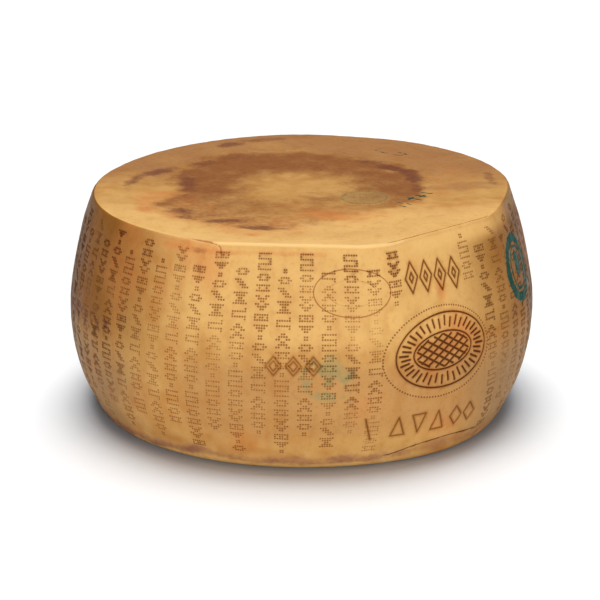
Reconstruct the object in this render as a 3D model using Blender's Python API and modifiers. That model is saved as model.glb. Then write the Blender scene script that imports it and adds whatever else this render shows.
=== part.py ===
"""A whole wheel of hard, aged cheese, lying on its flat face.

The wheel is turned from its barrel-shaped outline.  Its upper side is then pressed in at two flat
panels and a few soft dents, as the mould left them.  An inset disc stands up a little from the
top face, and an oval mark of two grooved lines is sunk into the side, below the second panel.

Metres, +Z up.  The origin is on the ground, in the middle of the wheel's width and depth.
Azimuths are in degrees: 0 faces -Y, and 90 faces +X.
"""

import math

import bmesh
import bpy
from mathutils import Vector

# Driving dimensions
HEIGHT = 0.217
GIRTH_RADIUS = 0.230
GIRTH_HEIGHT = HEIGHT / 2

# How far the side draws in from the girth to the top and to the foot, and how it curves there
TOP_DRAW = 0.0222
TOP_CURVE = 1.7
FOOT_DRAW = 0.0288
FOOT_CURVE = 2.3

# Rounded edges
TOP_EDGE = 0.004
FOOT_EDGE = 0.012
EDGE_STEPS = 5

# The top face is level at the rim and dips inside it
DISH_DEPTH = 0.0025
DISH_FLAT_RADIUS = 0.145
DISH_RIM_RADIUS = 0.188
DISH_RINGS = 6
FLAT_RING_RADII = (0.060, 0.105)

# The mesh
SIDE_RINGS = 16
TURN_STEPS = 90

# Plan of the rim: the turned circle, two flat panels as (azimuth, distance from the axis), and
# soft dents as (azimuth, half width, depth).  A bump is a dent of negative depth.
RIM_RADIUS = GIRTH_RADIUS - TOP_DRAW
FRONT_PANEL = (-5.0, 0.1950)
MARK_PANEL = (42.0, 0.1965)
RIM_DENTS = (
    (-128.0, 46.0, 0.0085), (-36.0, 15.0, 0.0025), (78.0, 20.0, 0.0078), (165.0, 12.0, 0.0040),
)
CORNER_SOFTNESS = 0.0010
PANEL_REACH = 60.0
RIM_PRESS_FOOT = 0.030

# The foot's own dents and bump, which fade out at the girth
FOOT_DENTS = ((88.0, 22.0, 0.0046), (40.0, 21.0, -0.0052), (-80.0, 25.0, 0.0010))
FOOT_PRESS_TOP = 0.110

# A shallow step low on the side, below the mark, as (middle azimuth, half width)
STEP_SPAN = (38.0, 26.0)
STEP_HEIGHT = 0.0175
STEP_DEPTH = 0.0012
STEP_BLEND = 0.0020

# Inset disc on the top face
DISC_PLACE = (0.0605, -0.0260)
DISC_RADIUS = 0.0265
DISC_THICKNESS = 0.0030
DISC_RISE = 0.0006
DISC_SIDES = 40

# Oval mark on the side
MARK_AZIMUTH = 35.6
MARK_HEIGHT = 0.1115
MARK_RINGS = ((0.0535, 0.0346), (0.0347, 0.0175))
GROOVE_RADIUS = 0.0011
RING_POINTS = 48

RIND_COLOUR = (0.60, 0.31, 0.10, 1.0)
RIND_ROUGHNESS = 0.48


def smooth_step(value):
    """0 below 0, 1 above 1, and a soft S between."""
    value = min(max(value, 0.0), 1.0)
    return value * value * (3.0 - 2.0 * value)


def side_radius(z):
    """Radius of the turned side at a height."""
    if z >= GIRTH_HEIGHT:
        rise = (z - GIRTH_HEIGHT) / (HEIGHT - GIRTH_HEIGHT)
        return GIRTH_RADIUS - TOP_DRAW * rise ** TOP_CURVE
    drop = (GIRTH_HEIGHT - z) / GIRTH_HEIGHT
    return GIRTH_RADIUS - FOOT_DRAW * drop ** FOOT_CURVE


def top_height(radius):
    """Height of the top face at a distance from the axis."""
    rise = (radius - DISH_FLAT_RADIUS) / (DISH_RIM_RADIUS - DISH_FLAT_RADIUS)
    return HEIGHT - DISH_DEPTH * (1.0 - smooth_step(rise))


def edge_arc(edge, slope, level, up):
    """Points of a rounded edge, from the side round to the flat face."""
    lean = math.atan(slope)
    tangent_height = edge * (1.0 - math.sin(lean))
    z_tangent = level - up * tangent_height
    centre_radius = side_radius(z_tangent) - edge * math.cos(lean)
    points = []
    for step in range(EDGE_STEPS + 1):
        angle = lean + (math.pi / 2 - lean) * step / EDGE_STEPS
        radius = centre_radius + edge * math.cos(angle)
        points.append((radius, level - up * edge * (1.0 - math.sin(angle))))
    return points


def outline():
    """The turned outline as (radius, z), from the middle of the top down to the middle of the foot."""
    top_slope = TOP_DRAW * TOP_CURVE / (HEIGHT - GIRTH_HEIGHT)
    foot_slope = FOOT_DRAW * FOOT_CURVE / GIRTH_HEIGHT
    top_arc = edge_arc(TOP_EDGE, top_slope, HEIGHT, 1.0)
    foot_arc = edge_arc(FOOT_EDGE, foot_slope, 0.0, -1.0)
    points = [(0.0, top_height(0.0))]
    points += [(radius, top_height(radius)) for radius in FLAT_RING_RADII]
    for ring in range(DISH_RINGS + 1):
        radius = DISH_FLAT_RADIUS + (DISH_RIM_RADIUS - DISH_FLAT_RADIUS) * ring / DISH_RINGS
        points.append((radius, top_height(radius)))
    points += reversed(top_arc)
    z_high = top_arc[0][1]
    z_low = foot_arc[0][1]
    for ring in range(1, SIDE_RINGS):
        z = z_high + (z_low - z_high) * ring / SIDE_RINGS
        points.append((side_radius(z), z))
    points += foot_arc
    points.append((0.0, 0.0))
    return points


def panel_radius(azimuth, panel):
    """Distance from the axis to a flat panel, in one direction."""
    middle, distance = panel
    turn = abs((azimuth - middle + 180.0) % 360.0 - 180.0)
    return distance / math.cos(math.radians(min(turn, PANEL_REACH)))


def dent_depth(azimuth, dents):
    """Depth of a row of soft dents, in one direction."""
    depth = 0.0
    for middle, half_width, most in dents:
        turn = (azimuth - middle + 180.0) % 360.0 - 180.0
        depth += most * math.exp(-(turn / half_width) ** 2)
    return depth


def rim_radius(azimuth):
    """Plan of the pressed rim: the smallest of circle and panels, with softened corners."""
    circle = RIM_RADIUS - dent_depth(azimuth, RIM_DENTS)
    lines = (circle, panel_radius(azimuth, FRONT_PANEL), panel_radius(azimuth, MARK_PANEL))
    nearest = min(lines)
    blend = sum(math.exp((nearest - line) / CORNER_SOFTNESS) for line in lines)
    return nearest - CORNER_SOFTNESS * math.log(blend)


def press_depth(azimuth, z):
    """How far the side is pressed in: as the rim is at the top, and as the foot is at the bottom."""
    rim_share = smooth_step((z - RIM_PRESS_FOOT) / (HEIGHT - RIM_PRESS_FOOT))
    foot_share = 1.0 - smooth_step(z / FOOT_PRESS_TOP)
    rim_depth = RIM_RADIUS - rim_radius(azimuth)
    return rim_depth * rim_share + dent_depth(azimuth, FOOT_DENTS) * foot_share


def step_depth(azimuth, z):
    """How far the band below the step lies behind the panel above it."""
    middle, half_width = STEP_SPAN
    span = 1.0 - smooth_step((abs(azimuth - middle) - half_width * 0.7) / (half_width * 0.3))
    return STEP_DEPTH * span * smooth_step((STEP_HEIGHT - z) / STEP_BLEND)


def surface_point(azimuth, z):
    """A point on the finished side."""
    radius = side_radius(z) - press_depth(azimuth, z)
    angle = math.radians(azimuth)
    return Vector((radius * math.sin(angle), -radius * math.cos(angle), z))


def press_point(point):
    """Moves a point of the turned wheel to its place on the pressed one."""
    radius = math.hypot(point.x, point.y)
    if radius < 1e-6:
        return point.copy()
    azimuth = math.degrees(math.atan2(point.x, -point.y))
    share = min(radius / side_radius(point.z), 1.0) ** 2
    depth = (press_depth(azimuth, point.z) + step_depth(azimuth, point.z)) * share
    scale = (radius - depth) / radius
    return Vector((point.x * scale, point.y * scale, point.z))


def new_object(name, data, collection):
    """Adds an object to a collection."""
    item = bpy.data.objects.new(name, data)
    collection.objects.link(item)
    return item


def evaluated_mesh(item):
    """The object's mesh with its modifiers applied, in world space."""
    depsgraph = bpy.context.evaluated_depsgraph_get()
    mesh = bpy.data.meshes.new_from_object(item.evaluated_get(depsgraph))
    mesh.transform(item.matrix_world)
    return mesh


def turned_wheel(collection):
    """Turns the outline, then presses the flats and dents into it."""
    mesh = bpy.data.meshes.new("outline")
    points = [(radius, 0.0, z) for radius, z in outline()]
    edges = [(index, index + 1) for index in range(len(points) - 1)]
    mesh.from_pydata(points, edges, [])
    item = new_object("outline", mesh, collection)
    screw = item.modifiers.new("turn", "SCREW")
    screw.steps = TURN_STEPS
    screw.render_steps = TURN_STEPS
    screw.use_merge_vertices = True
    screw.merge_threshold = 0.00001
    turned = evaluated_mesh(item)
    bpy.data.objects.remove(item)
    for vertex in turned.vertices:
        vertex.co = press_point(vertex.co)
    return new_object("cheese_wheel", turned, collection)


def inset_disc(collection):
    """The thin disc that stands up a little from the dished top face."""
    bm = bmesh.new()
    bmesh.ops.create_cone(
        bm, cap_ends=True, segments=DISC_SIDES,
        radius1=DISC_RADIUS, radius2=DISC_RADIUS, depth=DISC_THICKNESS,
    )
    mesh = bpy.data.meshes.new("inset_disc")
    bm.to_mesh(mesh)
    bm.free()
    item = new_object("inset_disc", mesh, collection)
    top = top_height(0.0) + DISC_RISE
    item.location = (DISC_PLACE[0], DISC_PLACE[1], top - DISC_THICKNESS / 2)
    return item


def mark_point(across, up):
    """A point of the oval mark, measured from its middle along the side."""
    azimuth = MARK_AZIMUTH + math.degrees(across / GIRTH_RADIUS)
    return surface_point(azimuth, MARK_HEIGHT + up)


def groove(name, points, collection):
    """A closed round bar along a path on the surface, which cuts half its thickness deep."""
    curve = bpy.data.curves.new(name, "CURVE")
    curve.dimensions = "3D"
    curve.bevel_depth = GROOVE_RADIUS
    curve.bevel_resolution = 1
    spline = curve.splines.new("POLY")
    spline.points.add(len(points) - 1)
    for index, point in enumerate(points):
        spline.points[index].co = (point.x, point.y, point.z, 1.0)
    spline.use_cyclic_u = True
    item = new_object(name, curve, collection)
    mesh = evaluated_mesh(item)
    bpy.data.objects.remove(item)
    return new_object(name, mesh, collection)


def mark_grooves(collection):
    """The mark's two oval lines."""
    turns = [math.tau * index / RING_POINTS for index in range(RING_POINTS)]
    for number, (half_length, half_width) in enumerate(MARK_RINGS, start=1):
        ring = [mark_point(half_length * math.cos(turn), half_width * math.sin(turn)) for turn in turns]
        groove(f"mark_ring_{number}", ring, collection)


def join_or_cut(item, operation, collection):
    """Applies one Boolean with a whole collection of closed shapes."""
    boolean = item.modifiers.new(operation.lower(), "BOOLEAN")
    boolean.operation = operation
    boolean.operand_type = "COLLECTION"
    boolean.collection = collection
    mesh = evaluated_mesh(item)
    item.modifiers.clear()
    item.data = mesh
    for other in list(collection.objects):
        bpy.data.objects.remove(other)
    bpy.data.collections.remove(collection)


def stand_on_origin(item):
    """Centres the wheel's width and depth on the origin."""
    xs = [vertex.co.x for vertex in item.data.vertices]
    ys = [vertex.co.y for vertex in item.data.vertices]
    shift = Vector((-(min(xs) + max(xs)) / 2, -(min(ys) + max(ys)) / 2, 0.0))
    for vertex in item.data.vertices:
        vertex.co += shift


def rind_material():
    """Pale golden rind."""
    material = bpy.data.materials.new("rind")
    material.use_nodes = True
    shader = material.node_tree.nodes["Principled BSDF"]
    shader.inputs["Base Color"].default_value = RIND_COLOUR
    shader.inputs["Roughness"].default_value = RIND_ROUGHNESS
    shader.inputs["Metallic"].default_value = 0.0
    return material


def build():
    """Makes the whole wheel."""
    for item in list(bpy.data.objects):
        bpy.data.objects.remove(item)
    root = bpy.context.scene.collection
    parts = bpy.data.collections.new("hard_cheese_wheel")
    additions = bpy.data.collections.new("additions")
    cutters = bpy.data.collections.new("cutters")
    for collection in (parts, additions, cutters):
        root.children.link(collection)
    wheel = turned_wheel(parts)
    inset_disc(additions)
    mark_grooves(cutters)
    join_or_cut(wheel, "UNION", additions)
    join_or_cut(wheel, "DIFFERENCE", cutters)
    stand_on_origin(wheel)
    wheel.data.materials.clear()
    wheel.data.materials.append(rind_material())
    wheel.data.shade_smooth()
    wheel.data.set_sharp_from_angle(angle=math.radians(35.0))


build()
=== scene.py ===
"""Looks of a whole wheel of hard, aged cheese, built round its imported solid.

One closed mesh replaces the solid.  It is made on a lattice that is wrapped over the wheel: rings
run from the middle of the top face, over the rim, down the side and in under the foot.  Cells that
carry a pin mark get a real pit, and cells near a stroke are divided finely.

Metres, +Z up.  Azimuths are in degrees: 0 faces -Y, and 90 faces +X.
"""

import math

import bpy
import numpy as np
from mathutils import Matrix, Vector


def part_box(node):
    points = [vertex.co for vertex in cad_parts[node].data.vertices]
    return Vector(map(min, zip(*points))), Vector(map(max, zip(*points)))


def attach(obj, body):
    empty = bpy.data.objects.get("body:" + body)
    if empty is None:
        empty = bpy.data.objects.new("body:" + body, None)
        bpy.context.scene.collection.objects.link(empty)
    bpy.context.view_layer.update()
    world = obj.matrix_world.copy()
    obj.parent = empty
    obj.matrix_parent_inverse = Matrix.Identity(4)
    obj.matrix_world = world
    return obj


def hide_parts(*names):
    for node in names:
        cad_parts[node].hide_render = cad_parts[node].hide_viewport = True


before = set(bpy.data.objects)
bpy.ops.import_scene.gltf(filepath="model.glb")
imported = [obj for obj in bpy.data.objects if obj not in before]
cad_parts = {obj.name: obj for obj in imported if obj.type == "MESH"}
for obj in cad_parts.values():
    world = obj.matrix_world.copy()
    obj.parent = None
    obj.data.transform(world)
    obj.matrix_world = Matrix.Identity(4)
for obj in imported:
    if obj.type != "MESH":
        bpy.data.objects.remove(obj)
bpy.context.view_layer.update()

# Form of the wheel, as in the solid
HEIGHT = float(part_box("cheese_wheel")[1][2])
GIRTH_RADIUS = 0.23
GIRTH_HEIGHT = HEIGHT / 2
TOP_DRAW = 0.0222
TOP_CURVE = 1.7
FOOT_DRAW = 0.0288
FOOT_CURVE = 2.3
TOP_EDGE = 0.004
FOOT_EDGE = 0.012
DISH_DEPTH = 0.0025
DISH_FLAT_RADIUS = 0.145
DISH_RIM_RADIUS = 0.188
RIM_RADIUS = GIRTH_RADIUS - TOP_DRAW
# Flat panels as (azimuth, distance from the axis), and dents as (azimuth, width in degrees, depth)
FRONT_PANEL = (-5.0, 0.195)
MARK_PANEL = (42.0, 0.1965)
RIM_DENTS = ((-128.0, 46.0, 0.0085), (-36.0, 15.0, 0.0025), (78.0, 20.0, 0.0078), (165.0, 12.0, 0.004))
CORNER_SOFTNESS = 0.001
PANEL_REACH = 60.0
RIM_PRESS_FOOT = 0.03
FOOT_DENTS = ((88.0, 22.0, 0.0046), (40.0, 21.0, -0.0052), (-80.0, 25.0, 0.001))
FOOT_PRESS_TOP = 0.11

# Points of the turned outline: on the top face, each edge, the side and the underside
FACE_POINTS = 600
EDGE_POINTS = 40
SIDE_POINTS = 600
UNDER_POINTS = 100

# Lattice: columns of pin marks round the side, each as wide as a motif of 6 cells and its margin
COLUMNS = 66
COLUMN_CELLS = 9
CELLS_ROUND = COLUMNS * COLUMN_CELLS
CELL_TURN = 360.0 / CELLS_ROUND
SIDE_CELLS = 90
EDGE_CELLS = 5
FINE = 4
FIRST_COLUMN_AZIMUTH = 0.78
NORMAL_STEP = 0.4
LEAN = 4.8
LEAN_HEIGHT = 0.057

# Faces: ring spacing, and where the number of cells round drops
TOP_RING_STEP = 0.0029
FOOT_RING_STEP = 0.009
CENTRE_RADIUS = 0.006
FACE_CELLS = ((0.045, CELLS_ROUND // 6), (0.105, CELLS_ROUND // 2), (1.0, CELLS_ROUND))

# Pin marks
PIN_RADIUS = 0.0009
PIN_DEPTH = 0.00055
UPPER_START = 0.2105
LOWER_START = 0.1955
UPPER_END = 0.0345
LOWER_END = 0.0165
MARK_COLUMNS = (5, 6, 7)
SHORT_COLUMNS = (4, 8)
SHORT_END = 0.16
SHIFTED_COLUMNS = range(8, 30)
SHIFT_CELLS = 4
BARE_COLUMNS = MARK_COLUMNS + (30,)

FRET = ("######", "#.....", "######", ".....#")
LADDER = ("######", ".#..#.", "######")
EYE = (".####.", "##..##", ".####.")
BOX = ("######", "#.##.#", "######")
CHEVRON = ("##..##", ".####.", "..##..")
TEETH = ("######", ".####.", "..##..")
STEPS = ("###...", ".###..", "..###.", "...###")
HOURGLASS = ("######", ".####.", "..##..", ".####.", "######")
DASH = ("..##..", "..##..")
GAP = ("......",)
MOTIFS = (
    FRET + FRET[:3],
    EYE,
    LADDER,
    CHEVRON + CHEVRON,
    BOX,
    TEETH,
    DASH,
    EYE,
    STEPS,
    HOURGLASS,
    FRET[::-1] + FRET[3:],
    CHEVRON[::-1] + CHEVRON[::-1],
    LADDER,
    EYE,
    DASH,
)


def smooth_step(value):
    """0 below 0, 1 above 1, and a soft S between."""
    value = np.clip(value, 0.0, 1.0)
    return value * value * (3.0 - 2.0 * value)


def rise(value, start, end):
    """0 at start and before, 1 at end and beyond, and a soft S between."""
    return smooth_step((value - start) / (end - start))


def band(value, start, end, soft):
    """1 between start and end, and fading to 0 over soft outside them."""
    return smooth_step((value - start) / soft + 1.0) * smooth_step((end - value) / soft + 1.0)


def turn_from(azimuth, middle):
    """Signed angle from a middle azimuth."""
    return (azimuth - middle + 180.0) % 360.0 - 180.0


def side_radius(z):
    """Radius of the turned side at a height."""
    above = np.clip((z - GIRTH_HEIGHT) / (HEIGHT - GIRTH_HEIGHT), 0.0, 1.0)
    below = np.clip((GIRTH_HEIGHT - z) / GIRTH_HEIGHT, 0.0, 1.0)
    return GIRTH_RADIUS - TOP_DRAW * above ** TOP_CURVE - FOOT_DRAW * below ** FOOT_CURVE


def top_height(radius):
    """Height of the top face at a distance from the axis."""
    return HEIGHT - DISH_DEPTH * (1.0 - rise(radius, DISH_FLAT_RADIUS, DISH_RIM_RADIUS))


def edge_arc(edge, slope, level, up):
    """Radii and heights of a rounded edge, from the side round to the flat face."""
    lean = math.atan(slope)
    z_tangent = level - up * edge * (1.0 - math.sin(lean))
    centre_radius = float(side_radius(z_tangent)) - edge * math.cos(lean)
    angle = np.linspace(lean, math.pi / 2, EDGE_POINTS)
    return centre_radius + edge * np.cos(angle), level - up * edge * (1.0 - np.sin(angle))


def turned_path():
    """The turned outline: length along it, radius and height, and the lengths at its joins."""
    top_slope = TOP_DRAW * TOP_CURVE / (HEIGHT - GIRTH_HEIGHT)
    foot_slope = FOOT_DRAW * FOOT_CURVE / GIRTH_HEIGHT
    arc_r, arc_z = edge_arc(TOP_EDGE, top_slope, HEIGHT, 1.0)
    foot_r, foot_z = edge_arc(FOOT_EDGE, foot_slope, 0.0, -1.0)
    face_r = np.linspace(0.0, arc_r[-1], FACE_POINTS)
    side_z = np.linspace(arc_z[0], foot_z[0], SIDE_POINTS)
    under_r = np.linspace(foot_r[-1], 0.0, UNDER_POINTS)[1:]
    radius = np.concatenate([face_r, arc_r[-2::-1], side_radius(side_z)[1:], foot_r[1:], under_r])
    height = np.concatenate([top_height(face_r), arc_z[-2::-1], side_z[1:], foot_z[1:], 0.0 * under_r])
    length = np.concatenate([[0.0], np.cumsum(np.hypot(np.diff(radius), np.diff(height)))])
    counts = np.cumsum([len(face_r), len(arc_r) - 1, len(side_z) - 1, len(foot_r) - 1]) - 1
    return length, radius, height, length[counts]


PATH_LENGTH, PATH_RADIUS, PATH_Z, JOINS = turned_path()
# Lengths along it at which the top face ends, the side starts and ends, and the underside starts
TOP_END, SIDE_START, SIDE_END, FOOT_START = JOINS
CELL_HEIGHT = (SIDE_END - SIDE_START) / SIDE_CELLS


def cells_round(radius):
    """How many cells a face's ring has."""
    return next(cells for limit, cells in FACE_CELLS if radius < limit)


def spaced(start, end, step):
    """Lengths about a step apart."""
    return np.linspace(start, end, round((end - start) / step) + 1)


def rings():
    """Every ring as (length along the outline, cells round), and the side's first and last ring."""
    face = spaced(CENTRE_RADIUS, TOP_END, TOP_RING_STEP)
    arc = np.linspace(TOP_END, SIDE_START, EDGE_CELLS + 1)[1:]
    side = np.linspace(SIDE_START, SIDE_END, SIDE_CELLS + 1)[1:]
    foot = np.linspace(SIDE_END, FOOT_START, EDGE_CELLS + 1)[1:]
    under = spaced(FOOT_START, PATH_LENGTH[-1] - CENTRE_RADIUS, FOOT_RING_STEP)[1:]
    places = [(s, cells_round(s)) for s in face]
    places += [(s, CELLS_ROUND) for s in np.concatenate([arc, side, foot])]
    places += [(s, cells_round(PATH_LENGTH[-1] - s)) for s in under]
    first_side = len(face) + len(arc) - 1
    return places, first_side, first_side + SIDE_CELLS


RINGS, SIDE_FIRST, SIDE_LAST = rings()
RING_LENGTHS = np.array([s for s, cells in RINGS])


def panel_radius(azimuth, panel):
    """Distance from the axis to a flat panel, in one direction."""
    middle, distance = panel
    turn = np.minimum(np.abs(turn_from(azimuth, middle)), PANEL_REACH)
    return distance / np.cos(np.radians(turn))


def dent_depth(azimuth, dents):
    """Depth of a row of soft dents, in one direction."""
    return sum(
        most * np.exp(-(turn_from(azimuth, middle) / width) ** 2) for middle, width, most in dents)


def rim_radius(azimuth):
    """Plan of the pressed rim: the smallest of circle and panels, with softened corners."""
    circle = RIM_RADIUS - dent_depth(azimuth, RIM_DENTS)
    lines = np.stack([circle, panel_radius(azimuth, FRONT_PANEL), panel_radius(azimuth, MARK_PANEL)])
    nearest = lines.min(axis=0)
    blend = np.exp((nearest - lines) / CORNER_SOFTNESS).sum(axis=0)
    return nearest - CORNER_SOFTNESS * np.log(blend)


def press_depth(azimuth, z):
    """How far the side is pressed in: as the rim is at the top, and as the foot is at the bottom."""
    rim_share = rise(z, RIM_PRESS_FOOT, HEIGHT)
    foot_share = 1.0 - smooth_step(z / FOOT_PRESS_TOP)
    rim_depth = RIM_RADIUS - rim_radius(azimuth)
    return rim_depth * rim_share + dent_depth(azimuth, FOOT_DENTS) * foot_share


def wrap(row, col):
    """Lattice place to azimuth, length along the outline, and the smooth pressed surface."""
    length = np.interp(row, np.arange(len(RINGS)), RING_LENGTHS)
    radius = np.interp(length, PATH_LENGTH, PATH_RADIUS)
    z = np.interp(length, PATH_LENGTH, PATH_Z)
    middle = COLUMN_CELLS / 2
    azimuth = FIRST_COLUMN_AZIMUTH + (col - middle) * CELL_TURN + LEAN * (z - LEAN_HEIGHT)
    share = np.minimum(radius / side_radius(z), 1.0) ** 2
    pressed = radius - press_depth(azimuth, z) * share
    angle = np.radians(azimuth)
    points = np.stack([pressed * np.sin(angle), -pressed * np.cos(angle), z], axis=-1)
    return azimuth, length, points


def outward(row, col):
    """Outward directions of the smooth surface."""
    along = wrap(row + NORMAL_STEP, col)[2] - wrap(row - NORMAL_STEP, col)[2]
    across = wrap(row, col + NORMAL_STEP)[2] - wrap(row, col - NORMAL_STEP)[2]
    normal = np.cross(along, across)
    return normal / np.maximum(np.linalg.norm(normal, axis=-1, keepdims=True), 1e-12)


def waves(points, size, seed, count=14):
    """Smooth noise from about -1 to 1, with features of about one size."""
    random = np.random.default_rng(seed)
    directions = random.normal(size=(count, 3))
    directions /= np.linalg.norm(directions, axis=1, keepdims=True)
    pitch = math.tau / (size * random.uniform(1.4, 3.2, count))
    phase = random.uniform(0.0, math.tau, count)
    total = np.sin(points @ (directions * pitch[:, None]).T + phase).sum(axis=1)
    return total / math.sqrt(count)


class Surface:
    """Points of the smooth surface, by their places on the lattice, and which face each is on."""

    def __init__(self, row, col, side_start, top_end):
        azimuth, self.length, self.points = wrap(row, col)
        self.azimuth = turn_from(azimuth, 0.0)
        self.x, self.y, self.z = self.points.T
        self.on_side = (self.length > side_start) & (self.length < FOOT_START)
        self.on_top = self.length < top_end


# Marks on the side are drawn on planes of their own: metres across, towards +azimuth, and up

# Farther than any mark reaches
FAR = 1.0


def local(place, azimuth, height, radius):
    """Places on the side, measured from a mark's middle."""
    return np.radians(turn_from(place.azimuth, azimuth)) * radius, place.z - height


def line_distance(x, y, lines):
    """Distance to the nearest of some polylines."""
    nearest = np.full(np.shape(x), FAR)
    for line in lines:
        for (ax, ay), (bx, by) in zip(line[:-1], line[1:]):
            dx, dy = bx - ax, by - ay
            share = np.clip(((x - ax) * dx + (y - ay) * dy) / (dx * dx + dy * dy + 1e-12), 0.0, 1.0)
            nearest = np.minimum(nearest, np.hypot(x - ax - share * dx, y - ay - share * dy))
    return nearest


def oval_distance(x, y, half_x, half_y):
    """Near enough the distance to an oval line."""
    level = np.hypot(x / half_x, y / half_y)
    slope = np.hypot(x / half_x ** 2, y / half_y ** 2) / np.maximum(level, 1e-6)
    return np.abs(level - 1.0) / np.maximum(slope, 1e-6)


def lozenge(x, y, half_x, half_y):
    """A closed four-sided outline that stands on a corner."""
    return [(x - half_x, y), (x, y + half_y), (x + half_x, y), (x, y - half_y), (x - half_x, y)]


def triangle(x, y, half_x, half_y):
    """A closed triangle, point up where half_y is positive."""
    low = y - half_y
    return [(x - half_x, low), (x, y + half_y), (x + half_x, low), (x - half_x, low)]


def dotted_oval(half_x, half_y, count):
    """Middles of dots spread evenly along an oval."""
    dense = np.linspace(0.0, math.tau, 721)
    x, y = half_x * np.cos(dense), half_y * np.sin(dense)
    length = np.concatenate([[0.0], np.cumsum(np.hypot(np.diff(x), np.diff(y)))])
    even = np.interp(np.arange(count) * length[-1] / count, length, dense)
    return half_x * np.cos(even), half_y * np.sin(even)


def dot_distance(x, y, dots_x, dots_y):
    """Distance to the nearest of some dots."""
    return np.min(np.hypot(x[:, None] - dots_x[None, :], y[:, None] - dots_y[None, :]), axis=1)


def oval_ticks(inner, outer, count, length, start, stagger):
    """Short strokes across the band between two ovals, every second one farther out."""
    lines = []
    for number in range(count):
        turn = math.tau * (number + 0.5) / count
        middle = start + (stagger if number % 2 else 0.0)
        points = []
        for share in (middle - length / 2, middle + length / 2):
            half_x = inner[0] + (outer[0] - inner[0]) * share
            half_y = inner[1] + (outer[1] - inner[1]) * share
            points.append((half_x * math.cos(turn), half_y * math.sin(turn)))
        lines.append(points)
    return lines


def trellis(half_x, half_y, pitch, slope, count=6):
    """Two sets of slanting lines, clipped to an oval."""
    lines = []
    for sign in (-1.0, 1.0):
        for number in range(-count, count + 1):
            offset = number * pitch
            a = 1.0 / half_x ** 2 + (slope / half_y) ** 2
            b = 2.0 * sign * slope * offset / half_y ** 2
            c = (offset / half_y) ** 2 - 1.0
            root = b * b - 4.0 * a * c
            if root > 0.0:
                ends = [(-b + step * math.sqrt(root)) / (2.0 * a) for step in (-1.0, 1.0)]
                lines.append([(x, sign * slope * x + offset) for x in ends])
    return lines


# Middles of the burnt marks, as (azimuth, height, radius)
OVAL_MARK = (35.6, 0.1115, 0.226)
HIGH_BAND = (35.1, 0.1806, 0.208)
LOW_ROW = (33.7, 0.0435, 0.222)
FRONT_ROW = (-2.1, 0.11, 0.224)
FINE_STROKE = 0.00072
BOLD_STROKE = 0.001
STROKE_BLUR = 0.00035

# Oval mark
OUTER_OVAL = (0.0535, 0.0346)
INNER_OVAL = (0.0347, 0.0175)
DOTTED_OVAL = (0.0622, 0.0423, 104)
DOTTED_OVAL_MIDDLE = (OVAL_MARK[0] - 1.1, OVAL_MARK[1] - 0.001, OVAL_MARK[2])
DOTTED_OVAL_BOX = (0.067, 0.047)
DOT_STROKE = (0.00085, 0.0005)
TICKS = oval_ticks(INNER_OVAL, OUTER_OVAL, 40, 0.46, 0.46, 0.12)
TRELLIS = trellis(INNER_OVAL[0] * 0.9, INNER_OVAL[1] * 0.86, 0.0078, 0.62)

# Band of lozenges above the oval, shapes in a row below it, and lozenges at the front
BAND_PITCH = 0.0172
BAND_HALF_HEIGHT = 0.014
BAND_FALL = 0.1
BAND_SIZES = ((BAND_PITCH * 0.42, BAND_HALF_HEIGHT), (BAND_PITCH * 0.13, BAND_HALF_HEIGHT * 0.33))
LOW_SIZE = (0.007, 0.0096)
LOW_TRIANGLES = ((-0.0395, 1), (-0.0185, -1), (0.0025, 1))
LOW_LOZENGES = (0.0235, 0.0405)
LOW_STROKE = [(-0.066, -0.0115), (-0.072, 0.0115)]
FRONT_PLACES = (-0.0182, 0.0, 0.0182)
FRONT_SIZES = ((0.0072, 0.0088), (0.004, 0.0049))


def lozenge_row(places, half_sizes, fall=0.0):
    """Lozenges side by side, with those of smaller sizes inside them."""
    return [lozenge(x, -fall * x, *half_size) for x in places for half_size in half_sizes]


BAND_SHAPES = lozenge_row([BAND_PITCH * (number - 1.5) for number in range(4)], BAND_SIZES, BAND_FALL)
LOW_SHAPES = [triangle(x, 0.0, LOW_SIZE[0], up * LOW_SIZE[1]) for x, up in LOW_TRIANGLES]
LOW_SHAPES += lozenge_row(LOW_LOZENGES, (LOW_SIZE,)) + [LOW_STROKE]
FRONT_SHAPES = lozenge_row(FRONT_PLACES, FRONT_SIZES)

# Burnt marks, as (middle, half size of the box, oval or lines, half width, strength)
OVAL_BOX = (0.062, 0.043)
BURNS = (
    (OVAL_MARK, OVAL_BOX, OUTER_OVAL, FINE_STROKE, 1.0),
    (OVAL_MARK, OVAL_BOX, INNER_OVAL, FINE_STROKE, 1.0),
    (OVAL_MARK, OVAL_BOX, TICKS, BOLD_STROKE, 0.9),
    (OVAL_MARK, OVAL_BOX, TRELLIS, BOLD_STROKE, 0.85),
    (LOW_ROW, (0.08, 0.022), LOW_SHAPES, FINE_STROKE * 1.2, 0.56),
    (HIGH_BAND, (0.04, 0.022), BAND_SHAPES, BOLD_STROKE, 0.64),
    (FRONT_ROW, (0.028, 0.014), FRONT_SHAPES, FINE_STROKE, 0.52),
)

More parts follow.
